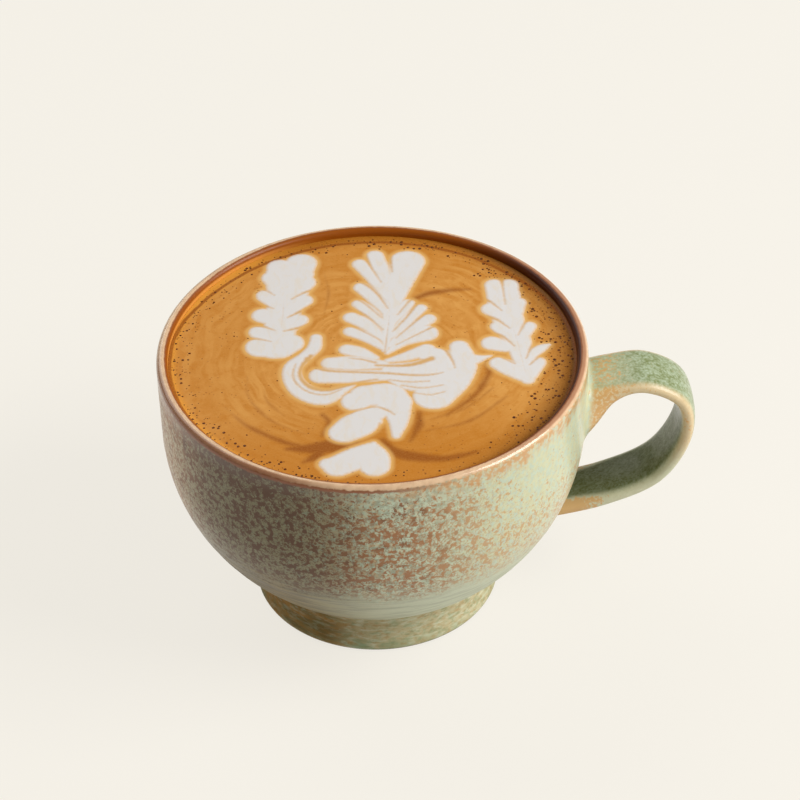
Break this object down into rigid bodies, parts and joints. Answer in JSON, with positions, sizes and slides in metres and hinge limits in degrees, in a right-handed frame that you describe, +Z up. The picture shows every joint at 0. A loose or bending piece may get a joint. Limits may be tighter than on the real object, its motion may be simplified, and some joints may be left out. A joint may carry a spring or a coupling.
{
  "type": "latte in a cup",
  "caption": "Full cup of latte with free-poured milk foam figures, in a round-bellied stoneware cup with a foot and an ear handle.",
  "frame": {"origin": "under the middle of the whole thing, cup and handle, on the surface that it stands on; the cup's own axis is at x = -0.01275", "axes": "+Z up, +X out along the handle, +Y away from someone who faces the cup with its handle to their right"},
  "size_m": [0.1256, 0.1, 0.0682],
  "materials": {
    "reactive_glaze": "gloss",
    "crema": "satin",
    "milk_foam": "satin"
  },
  "bodies": {
    "root": {"cup": "reactive_glaze", "drink": "crema", "foam_rosetta_left": "milk_foam", "foam_rosetta_centre": "milk_foam", "foam_rosetta_right": "milk_foam", "foam_wings": "milk_foam", "foam_tulip": "milk_foam", "foam_heart": "milk_foam"}
  },
  "joints": []
}
